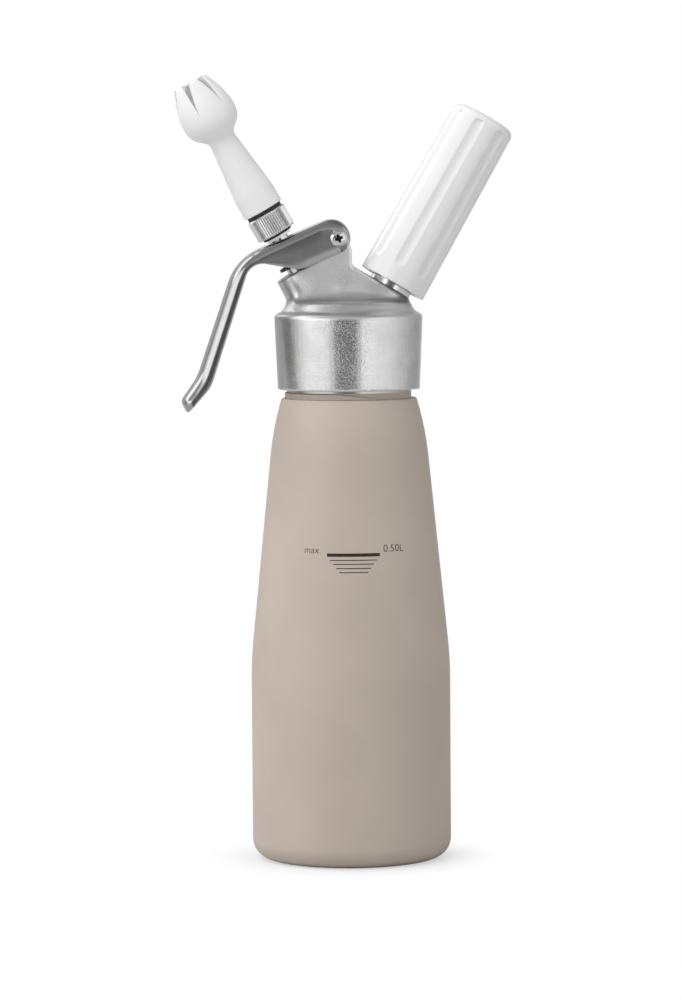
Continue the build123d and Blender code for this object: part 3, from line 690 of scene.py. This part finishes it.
def channel_side(inset):
    """Depth and half width of one side of the section, from the flange's eased edge over the
    bend to the middle of the web; inset is the sheet's gauge for the inside, else nothing."""
    radius = bend_radius - inset
    half = lever_half - inset
    thirds = np.array((0.66, 0.33))
    edge = flange_depth - np.array((0.0, 0.3, 1.0)) * edge_ease
    edge_half = half + (1 if inset else -1) * np.array((1.0, 0.3, 0.0)) * edge_ease
    flat = inset + radius + (flange_depth - edge_ease - inset - radius) * thirds
    curve = inset + radius * (1 - np.sin(bend_turn))
    curve_half = half - radius * (1 - np.cos(bend_turn))
    depth = np.concatenate([edge, flat, curve, inset + 0 * radius * thirds], 1)
    width = np.concatenate([
        np.broadcast_to(edge_half, edge.shape), np.full(flat.shape, half), curve_half,
        (half - radius) * thirds,
    ], 1)
    return depth, width


def channel_skin(inset):
    """Whole section from one flange's edge to the other's, as depth and signed width."""
    depth, width = channel_side(inset)
    middle = np.full((len(depth), 1), inset)
    return (
        np.concatenate([depth, middle, depth[:, ::-1]], 1),
        np.concatenate([width, 0 * middle, -width[:, ::-1]], 1),
    )


outer_depth, outer_width = channel_skin(0.0)
inner_depth, inner_width = channel_skin(sheet_gauge)
depth = np.concatenate([outer_depth, inner_depth[:, ::-1], outer_depth[:, :1]], 1)
width = np.concatenate([outer_width, inner_width[:, ::-1], outer_width[:, :1]], 1)
down = depth / flange_depth
straight = web_line[:, None] + (edge_point - web_line)[:, None] * down[..., None]
round_bearing = wrap_bearing - (wrap_bearing + pi / 2) * down
circling = end_middle + end_radius * np.stack([np.cos(round_bearing), np.sin(round_bearing)], -1)
flat_place = straight + (circling - straight) * circle_share[:, None]
channel = np.concatenate([flat_place, width[..., None]], -1)
# Both ends are closed along the middle of the sheet.
sheet_middle = (channel[:, :-1] + channel[:, -2::-1]) / 2
sheet_middle = np.concatenate([sheet_middle, sheet_middle[:, :1]], 1)
channel = np.concatenate([sheet_middle[:1], channel, sheet_middle[-1:]])
lever_points = np.stack([
    pivot[0] + channel[..., 0] * cos(lever_fall) + channel[..., 1] * sin(lever_fall),
    -channel[..., 2],
    pivot[2] - channel[..., 0] * sin(lever_fall) + channel[..., 1] * cos(lever_fall),
], -1)

lever_finish, sheet = new_finish("polished_sheet_steel")
place = sheet.add("ShaderNodeTexCoord", out="Object")
grain_place = sheet.add("ShaderNodeMapping", {}, {
    "Vector": place, "Rotation": (0, radians(22), 0), "Scale": (0.05, 1, 1),
})
drawn = sheet.noise(grain_place, 1500.0, 3.0)
haze = sheet.noise(place, 90.0, 4.0)
orange_peel = sheet.noise(place, 1300.0, 2.0)
sheet_relief = drawn + orange_peel
close(sheet, {
    "Base Color": sheet.mix(haze.rise(0.3, 0.7), (0.39, 0.39, 0.39, 1), (0.43, 0.43, 0.43, 1)),
    "Metallic": 1.0,
    "Roughness": 0.15 + 0.07 * haze + 0.04 * drawn,
    "Normal": sheet.bump(sheet_relief, 0.15, 0.00003),
})
lever = fitted("drawn_lever", [lever_points], lever_finish, "lever", "lever_steel", "lever", crease=35)

# The valve's slot, in the spout's own frame, and the pivot's holes are cut through the sheet.
slot_middle, slot_half_run, slot_end_radius, hole_radius = 0.525, 1.125, 4.1, 2.56
around = np.linspace(0, 2 * pi, 65)
circle = np.stack([np.cos(around), np.sin(around)], -1)
slot_outline = np.stack([
    slot_middle + np.sign(circle[:, 0]) * slot_half_run + slot_end_radius * circle[:, 0],
    slot_end_radius * circle[:, 1],
], -1)


def plug(outline, low, high):
    """Closed plug: the outline carried from low to high, with flat ends."""
    return np.stack([
        np.column_stack([outline * scale, np.full(len(outline), height)])
        for scale, height in ((0, low), (1, low), (1, high), (0, high))
    ])


slot_plug = leaning(plug(slot_outline, 9.0, 18.0), spout_face, spout_tilt)
across_plug = plug(hole_radius * circle, -12.0, 12.0)
hole_plug = np.stack([
    across_plug[..., 0] + pivot[0], across_plug[..., 2], across_plug[..., 1] + pivot[2],
], -1)
cutters = [
    new_object(name, closed_mesh(name, grid / 1000))
    for name, grid in (("valve_slot", slot_plug), ("pivot_hole", hole_plug))
]
for cutter in cutters:
    cut = lever.modifiers.new(cutter.name, "BOOLEAN")
    cut.operation = "DIFFERENCE"
    cut.solver = "EXACT"
    cut.object = cutter
pierced = applied(lever)
lever.modifiers.clear()
lever.data = pierced
for cutter in cutters:
    bpy.data.objects.remove(cutter)
pierced.shade_smooth()
pierced.set_sharp_from_angle(angle=radians(35))

# --- turned, drawn and plated steel -------------------------------------------------------
# Turned and polished: the valve's stem and the pivot's sleeve. Drawn wire: its spring, and the
# pin. Sprung sheet: the clip. Zinc-plated charger, in the turned liner of its holder.


def metal(name, dark, light, roughness, scale=700.0, bump=0.1):
    material, finish = new_finish(name)
    place = finish.add("ShaderNodeTexCoord", out="Object")
    tone = finish.noise(place, 160.0, 3.0)
    grain = finish.noise(place, scale, 2.0)
    close(finish, {
        "Base Color": finish.mix(tone.rise(0.3, 0.7), (*dark, 1), (*light, 1)),
        "Metallic": 1.0,
        "Roughness": roughness + 0.08 * tone,
        "Normal": finish.bump(grain, bump, 0.00003),
    })
    return material


def dress(material, *nodes):
    for node in nodes:
        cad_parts[node].data.materials.clear()
        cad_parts[node].data.materials.append(material)


bright = metal("bright_steel", (0.70, 0.70, 0.70), (0.80, 0.80, 0.80), 0.12)
dress(bright, "valve_stem", "pivot_sleeve")
dress(metal("drawn_wire", (0.50, 0.50, 0.50), (0.62, 0.62, 0.62), 0.25), "valve_spring", "piercing_pin")
dress(metal("dark_clip_steel", (0.10, 0.10, 0.105), (0.18, 0.18, 0.18), 0.35), "stroke_clip")
dress(metal("zinc_plate", (0.58, 0.58, 0.60), (0.70, 0.70, 0.71), 0.28), "gas_charger")
dress(metal("turned_liner", (0.60, 0.60, 0.61), (0.70, 0.70, 0.71), 0.32), "holder_liner")

# --- pivot screw --------------------------------------------------------------------------
# Small pan-head screw with a pressed cross recess; it closes the pivot's sleeve.

screw_seat, screw_radius, screw_shank = 9.3, 3.3, 1.45
dome_radius, dome_foot, dome_rise = 3.4, 0.35, 1.35
recess_turn, recess_depth = radians(20.0), 1.2
arm_reach, arm_slope, arm_half, arm_flank = 1.95, 1.2, 0.62, 0.42
dome_turn = np.linspace(0, radians(76), 72)
screw_profile = np.vstack([
    np.stack([dome_radius * np.sin(dome_turn), dome_foot + dome_rise * np.cos(dome_turn)], -1),
    [(screw_radius, 0.0), (screw_shank, 0.0), (screw_shank, -screw_seat), (0.0, -screw_seat)],
])
screw_grid = turned(screw_profile, 192)
along_cross = screw_grid[..., 0] * cos(recess_turn) + screw_grid[..., 1] * sin(recess_turn)
across_cross = screw_grid[..., 1] * cos(recess_turn) - screw_grid[..., 0] * sin(recess_turn)


def cross_arm(length, breadth):
    """Depth of one slot of the recess, a groove with sloping sides that rises to its ends."""
    slope = np.clip((arm_reach - np.abs(length)) / arm_slope, 0, 1)
    return slope * np.clip((arm_half - np.abs(breadth)) / arm_flank, 0, 1)


recess = np.maximum(cross_arm(along_cross, across_cross), cross_arm(across_cross, along_cross))
screw_grid[..., 2] -= recess_depth * recess * (screw_grid[..., 2] > 0.9)
screw_points = np.stack([
    screw_grid[..., 0] + pivot[0], -screw_grid[..., 2] - screw_seat, screw_grid[..., 1] + pivot[2],
], -1)

# Painted shade darkens the recess to near black: what lies deep under the dome and near the screw's axis.
screw_finish, screw_steel = new_finish("recessed_screw_steel")
place = screw_steel.add("ShaderNodeTexCoord", out="Object")
sunk = screw_steel.add("ShaderNodeSeparateXYZ", {}, {0: place}, out="Y")
tone = screw_steel.noise(place, 600.0, 3.0)
in_plane = screw_steel.add(
    "ShaderNodeVectorMath", {"operation": "MULTIPLY"}, {0: place, 1: (1, 0, 1)}, out="Vector"
)
from_axis = screw_steel.add(
    "ShaderNodeVectorMath", {"operation": "DISTANCE"},
    {0: in_plane, 1: (pivot[0] / 1000, 0, pivot[2] / 1000)}, out="Value",
)
# Mask of the painted shade in the cross recess; it also makes the recess rougher.
painted_recess_shade = sunk.rise(-0.01072, -0.01035) * (1 - from_axis.rise(0.0019, 0.0021))
polished = screw_steel.mix(tone.rise(0.3, 0.7), (0.62, 0.62, 0.62, 1), (0.78, 0.78, 0.78, 1))
close(screw_steel, {
    "Base Color": screw_steel.mix(painted_recess_shade, polished, (0.06, 0.06, 0.06, 1)),
    "Metallic": 1.0,
    "Roughness": 0.10 + 0.08 * tone + 0.3 * painted_recess_shade,
})
fitted("cross_recess_screw", [screw_points], screw_finish, "head", "bright_steel", "pivot_screw")

# --- nozzle adapter -----------------------------------------------------------------------
# Nickel-plated brass turned in one piece: a thin wrench hexagon, a waist for the seal, the
# straight-knurled ring for the fingers, and a spigot with the thread of the nozzles.


def screw_ridge(angle, height, low, high, pitch, depth):
    """Rounded thread between two heights; it fades in and out over one pitch."""
    turns = (height - low) / pitch - angle / (2 * pi)
    off_crest = np.abs(turns - np.round(turns)) * 2
    fade = np.clip((height - low) / pitch, 0, 1) * np.clip((high - height) / pitch, 0, 1)
    return depth * (0.5 + 0.5 * np.cos(pi * off_crest)) * fade - depth


hexagon_foot, hexagon_top, hexagon_half, hexagon_corner = 15.0, 16.0, 4.8, 5.54
waist_radius, ring_foot, ring_top, knurl_radius = 4.6, 17.0, 26.1, 8.15
knurls, knurl_depth, knurl_start, knurl_fade = 48, 0.5, 7.6, 0.5
ring_chamfer, ring_ease = 0.6, 1.0
spigot_radius, spigot_top, spigot_thread = 4.0, 33.7, (26.8, 33.0, 1.5, 0.55)
adapter_bore, socket_radius, socket_top = 1.6, 3.05, 22.0


def adapter_wobble(angle, height, radius):
    """Six flats on the foot, ridges with straight flanks round the ring, a thread on the
    spigot."""
    off_flat = np.mod(np.degrees(angle) + 30.0, 60.0) - 30.0
    hexagon = hexagon_half / np.cos(np.radians(off_flat)) - hexagon_corner
    ridge = knurl_depth * (np.abs(np.mod(angle * knurls / (2 * pi), 1.0) * 2 - 1) - 1)
    ridge = ridge * np.clip((radius - knurl_start) / knurl_fade, 0, 1)
    shape = np.where((radius > waist_radius + 0.4) & (height < hexagon_top + 0.2), hexagon, 0.0)
    shape = np.where((radius > knurl_start) & (height > ring_foot - 0.1), ridge, shape)
    on_spigot = (np.abs(radius - spigot_radius) < 0.45) & (height > ring_top + 0.5)
    return np.where(on_spigot, screw_ridge(angle, height, *spigot_thread), shape)


spigot_rows = np.linspace(26.7, 33.1, 44)
adapter_profile = np.vstack([
    [(socket_radius, hexagon_foot), (hexagon_corner, hexagon_foot), (hexagon_corner, hexagon_top),
     (waist_radius, hexagon_top), (waist_radius, ring_foot)],
    rounded([
        (waist_radius, ring_foot), (knurl_radius - ring_chamfer, ring_foot),
        (knurl_radius, ring_foot + ring_chamfer), (knurl_radius, ring_foot + ring_ease),
    ], [0.1, 0.3], 3)[1:],
    rounded([
        (knurl_radius, ring_top - ring_ease), (knurl_radius, ring_top - ring_chamfer),
        (knurl_radius - ring_chamfer, ring_top), (spigot_radius + 0.2, ring_top),
    ], [0.3, 0.1], 3),
    [(spigot_radius, ring_top + 0.2)],
    np.stack([np.full_like(spigot_rows, spigot_radius), spigot_rows], -1),
    [(spigot_radius - 0.4, spigot_top), (adapter_bore, spigot_top), (adapter_bore, socket_top + 0.05),
     (socket_radius, socket_top), (socket_radius, hexagon_foot)],
])
nickel = metal("satin_nickel", (0.76, 0.76, 0.755), (0.84, 0.84, 0.835), 0.26, bump=0.02)
adapter_grid = leaning(turned(adapter_profile, knurls * 8, adapter_wobble), spout_face, spout_tilt)
fitted("knurled_adapter", [adapter_grid], nickel, "valve", "nickel", "nozzle_adapter", crease=25)

# --- seals --------------------------------------------------------------------------------
# Moulded black rubber, and grey silicone for the head's gasket.


def moulded(name, colour, pale, roughness, scale, bump, **more):
    material, finish = new_finish(name)
    place = finish.add("ShaderNodeTexCoord", out="Object")
    tone = finish.noise(place, 60.0, 3.0)
    grain = finish.noise(place, scale, 2.0)
    close(finish, {
        "Base Color": finish.mix(tone.rise(0.3, 0.7), (*colour, 1), (*pale, 1)),
        "Roughness": roughness + 0.06 * tone,
        "Normal": finish.bump(grain, bump, 0.00005),
        **more,
    })
    return material


dress(
    moulded("black_rubber", (0.014, 0.014, 0.014), (0.03, 0.03, 0.03), 0.55, 1400.0, 0.3),
    "stem_o_ring", "valve_seal", "adapter_seal", "nozzle_gasket", "pin_seal",
)
dress(
    moulded("grey_silicone", (0.10, 0.10, 0.10), (0.14, 0.14, 0.14), 0.5, 900.0, 0.2),
    "head_gasket", "check_valve",
)

# --- tulip nozzle -------------------------------------------------------------------------
# Injection-moulded matte white plastic with a fine spark-eroded skin. Tapering slots split the
# bulb into six petals, whose edges are as soft as the mould leaves them.

petals, petal_phase, slot_foot, slot_half = 6, radians(9.0), 45.0, 1.75
nozzle_foot, neck_height, bulb_height, nozzle_length = 27.7, 32.0, 43.8, 58.5
socket_mouth, nozzle_bore, nozzle_neck, nozzle_wall = 4.3, 3.2, 5.5, 2.0
foot_radius, bulb_radius, tip_radius, petal_round, tip_round = 8.4, 11.4, 7.1, 0.45, 0.9
flare_radius, flare_rise = 9.3, 4.7


def smooth_run(places, start, end):
    """Cubic spline through places, clamped to the unit leans start and end; the parameter is
    the length of the chords. Gives a function of that parameter and its last value."""
    places = np.array(places, float)
    spans = np.linalg.norm(np.diff(places, axis=0), axis=1)
    count = len(places)
    system = np.zeros((count, count))
    wanted = np.zeros((count, 2))
    system[0, 0] = system[-1, -1] = 1
    wanted[0], wanted[-1] = (np.array(v, float) / np.linalg.norm(v) for v in (start, end))
    for k in range(1, count - 1):
        before, after = spans[k - 1], spans[k]
        system[k, k - 1:k + 2] = after, 2 * (before + after), before
        wanted[k] = 3 * (
            after / before * (places[k] - places[k - 1]) + before / after * (places[k + 1] - places[k])
        )
    leans = np.linalg.solve(system, wanted)
    knots = np.concatenate([[0], np.cumsum(spans)])

    def at(length):
        k = np.clip(np.searchsorted(knots, length, side="right") - 1, 0, count - 2)
        h = spans[k][:, None]
        t = ((length - knots[k]) / spans[k])[:, None]
        return (
            (2 * t**3 - 3 * t**2 + 1) * places[k] + (t**3 - 2 * t**2 + t) * h * leans[k]
            + (3 * t**2 - 2 * t**3) * places[k + 1] + (t**3 - t**2) * h * leans[k + 1]
        )

    return at, knots[-1]


def bulb_side(inset, rows):
    """Radius and height of the bulb's outside, or of its bore, at the given heights."""
    at, reach = smooth_run(
        [(nozzle_bore if inset else nozzle_neck, neck_height + inset / 2),
         (flare_radius - inset, neck_height + flare_rise + 0.6 * inset), (bulb_radius - inset, bulb_height),
         (tip_radius - inset, nozzle_length)],
        (0, 1), (-0.45, 1),
    )
    dense = at(np.linspace(0, reach, 400))
    return np.stack([np.interp(rows, dense[:, 1], dense[:, 0]), rows], -1)


def petal_loop(outer, inner, height, soften, steps=9, corner=5):
    """One closed loop round a petal's section at a height: outer face, edge, inner face and
    edge, with rounded corners. The slot leaves half of its width off each edge."""
    half_slot = slot_half * (height - slot_foot) / (nozzle_length - slot_foot)
    loop = []
    turn = np.linspace(0, pi / 2, corner)
    for side, radius, inward in ((1, outer, -1), (-1, inner, 1)):
        reach = pi / petals * radius - half_slot
        along = np.linspace(-1, 1, steps) * (reach - soften)
        edge_along = reach - soften + soften * np.sin(turn)
        edge_radius = radius + inward * soften * (1 - np.cos(turn))
        run = np.concatenate([-edge_along[::-1], along[1:-1], edge_along])
        deep = np.concatenate([edge_radius[::-1], np.full(steps - 2, radius), edge_radius])
        loop.append(np.stack([side * run / deep, deep], -1))
    return np.concatenate([*loop, loop[0][:1]])


petal_top = nozzle_length - tip_round
petal_rows = slot_foot + (petal_top - slot_foot) * np.linspace(0, 1, 30) ** 1.25
outer_side = bulb_side(0.0, petal_rows)[:, 0]
inner_side = bulb_side(nozzle_wall, petal_rows)[:, 0]
sections, petal_heights = [], []
for outer, inner, height in zip(outer_side, inner_side, petal_rows):
    grown = (height - slot_foot) / (nozzle_length - slot_foot)
    sections.append(petal_loop(outer, inner, height, petal_round * min(1, 4 * grown)))
    petal_heights.append(height)
# Over the last rows both faces turn in, and the petal leans to the axis and ends in a cap.
for roll in np.linspace(0, pi / 2, 6)[1:]:
    height = petal_top + tip_round * np.sin(roll)
    pull, tip_lean = 0.85 * (1 - np.cos(roll)), 0.3 * np.sin(roll)
    outer, inner = outer_side[-1] - pull - tip_lean, inner_side[-1] + pull - tip_lean
    sections.append(petal_loop(outer, inner, height, petal_round * (1 - 0.8 * np.sin(roll))))
    petal_heights.append(height)
sections.append(np.broadcast_to(sections[-1].mean(0), sections[-1].shape))
petal_heights.append(petal_heights[-1])
petal_sections, petal_heights = np.stack(sections), np.array(petal_heights)


def petal_bearings(number, angles):
    """Bearings on the nozzle of angles that count from one petal's middle."""
    return petal_phase + (number + 0.5) * 2 * pi / petals + angles


def petal(number):
    """Grid of one petal: its loops, each at its own height, turned to the petal's bearing."""
    angles = petal_bearings(number, petal_sections[..., 0])
    return np.stack([
        petal_sections[..., 1] * np.cos(angles), petal_sections[..., 1] * np.sin(angles),
        np.broadcast_to(petal_heights[:, None], angles.shape),
    ], -1)


# The ring below the petals shares its columns with the petals' feet.
foot_loop = petal_sections[0, :, 0]
foot_loop = foot_loop[:len(foot_loop) // 2]
foot_angles = np.concatenate([petal_bearings(number, foot_loop) for number in range(petals)])
foot_angles = np.append(foot_angles, foot_angles[0] + 2 * pi)
nozzle_outside = np.vstack([
    rounded([(socket_mouth, 0.0), (foot_radius, 0.0), (foot_radius - 0.01, 0.5)], [0.3], 5),
    rounded([(foot_radius, 0.0), (8.2, 8.4), (nozzle_neck, neck_height)], [20.0], 12)[1:],
    bulb_side(0.0, np.linspace(neck_height + 0.1, slot_foot, 26)),
])
nozzle_inside = np.vstack([
    [(socket_mouth, 0.0), (socket_mouth, 9.1), (nozzle_bore, 10.2), (nozzle_bore, neck_height + 0.9)],
    bulb_side(nozzle_wall, np.linspace(neck_height + 1.1, slot_foot, 24)),
])


def round_grid(profile, angles):
    """Profile carried round Z at the given angles."""
    return np.stack([
        profile[:, :1] * np.cos(angles), profile[:, :1] * np.sin(angles),
        np.broadcast_to(profile[:, 1:2], (len(profile), len(angles))),
    ], -1)


nozzle_finish = moulded(
    "matte_white_plastic", (0.85, 0.85, 0.85), (0.88, 0.88, 0.88), 0.5, 1600.0, 0.25,
    **{"Subsurface Weight": 0.08, "Subsurface Scale": 0.002, "Subsurface Radius": (1.0, 0.95, 0.9)},
)
nozzle_grids = [round_grid(nozzle_outside, foot_angles), round_grid(nozzle_inside, foot_angles)]
nozzle_grids += [petal(number) for number in range(petals)]
fitted(
    "petal_nozzle", [leaning(grid, spout_face, spout_tilt, nozzle_foot) for grid in nozzle_grids],
    nozzle_finish, "nozzle", "white_matte", "tulip_nozzle", crease=50, weld=2e-6,
)

# --- charger port -------------------------------------------------------------------------
# Turned steel insert: the shank screws into the head, and the holder screws on its thread.

port_bore, shank_radius, shank_foot, collar_radius = 1.0, 5.0, -14.0, 8.75
crest_radius, relief_radius, relief_top, port_top = 10.2, 9.5, 2.3, 10.6
cup_radius, cup_foot, pin_seat_radius, pin_seat = 4.9, 2.6, 1.65, -1.5
holder_thread = (2.8, 10.2, 1.5, 0.6)


def port_thread(angle, height, radius):
    """Thread of the holder round the port's widest part."""
    low, high = holder_thread[:2]
    outer = (radius > relief_radius + 0.3) & (height > low) & (height < high)
    return np.where(outer, screw_ridge(angle, height, *holder_thread), 0.0)


thread_rows = np.linspace(3.0, 9.9, 60)
port_profile = np.vstack([
    [(port_bore, shank_foot), (shank_radius, shank_foot), (shank_radius, 0.0), (shank_radius, 0.05),
     (collar_radius, 0.05), (collar_radius, relief_top), (relief_radius, relief_top), (crest_radius, 2.95)],
    np.stack([np.full_like(thread_rows, crest_radius), thread_rows], -1),
    [(crest_radius, 9.95), (relief_radius, port_top), (cup_radius, port_top), (cup_radius, cup_foot),
     (pin_seat_radius, cup_foot), (pin_seat_radius, pin_seat), (port_bore, pin_seat),
     (port_bore, shank_foot)],
])
port_grid = leaning(turned(port_profile, 128, port_thread), port_face, port_tilt)
fitted("threaded_port", [port_grid], bright, "head", "bright_steel", "charger_port", crease=30)

# --- charger holder -----------------------------------------------------------------------
# Glossy white moulding with eight finger flutes, pressed over the metal liner.

holder_mouth, holder_rise, crown_rise = 2.1, 76.2, 0.8
mouth_radius, top_radius, top_round = 14.05, 13.1, 3.2
liner_seat, liner_radius, liner_top, cover_top = 11.75, 10.55, 12.65, 2.6
flutes, flute_phase, flute_width, flute_depth = 8, radians(32.0), 4.8, 0.9
flute_low, flute_high, flute_ease = 9.4, holder_rise - 4.6, 0.12
ball_radius = (flute_width**2 / 4 + flute_depth**2) / (2 * flute_depth)


def cover_radius(height):
    """Radius of the cover between its flutes."""
    return mouth_radius - (mouth_radius - top_radius) * height / holder_rise


def fluted(angle, height, radius):
    """Each flute is the path of a ball that runs up beside the cover; its edge is eased where
    it meets the round side."""
    side = cover_radius(height)
    away = np.mod(angle - flute_phase + pi / flutes, 2 * pi / flutes) - pi / flutes
    beyond = np.clip(flute_low - height, 0, None) + np.clip(height - flute_high, 0, None)
    ball = np.clip(ball_radius**2 - beyond**2, 0, None)
    middle = side + ball_radius - flute_depth
    hit = ball - (middle * np.sin(away)) ** 2
    cut = middle * np.cos(away) - np.sqrt(np.clip(hit, 0, None))
    gain = np.where(hit > 0, side - cut, -1.0)
    gain = 0.5 * (gain + np.sqrt(gain**2 + flute_ease**2)) - 0.5 * (sqrt(1.0 + flute_ease**2) - 1.0)
    return np.where(radius > side - 0.02, -np.clip(gain, 0, None), 0.0)


side_rows = np.linspace(0.6, holder_rise - 3.6, 120)
cover_side = np.stack([cover_radius(side_rows), side_rows], -1)
cover_crown = rounded(
    [cover_side[-1], (top_radius, holder_rise), (0.0, holder_rise + crown_rise)], [top_round], 14,
)
holder_profile = np.vstack([
    [(liner_seat, 0.0)],
    rounded([(liner_seat + 0.05, 0.0), (mouth_radius, 0.0), (mouth_radius - 0.01, 0.6)], [0.4], 5)[1:-1],
    cover_side, cover_crown[1:],
    [(0.0, holder_rise - cover_top), (liner_radius, holder_rise - cover_top), (liner_radius, liner_top),
     (liner_seat, liner_top), (liner_seat, 0.0)],
])
holder_finish = moulded("glossy_white_plastic", (0.82, 0.82, 0.825), (0.84, 0.84, 0.845), 0.16, 400.0, 0.05)
holder_grid = leaning(turned(holder_profile, 240, fluted), port_face, port_tilt, holder_mouth)
fitted("fluted_holder", [holder_grid], holder_finish, "holder", "white_gloss", "charger_holder", crease=35)
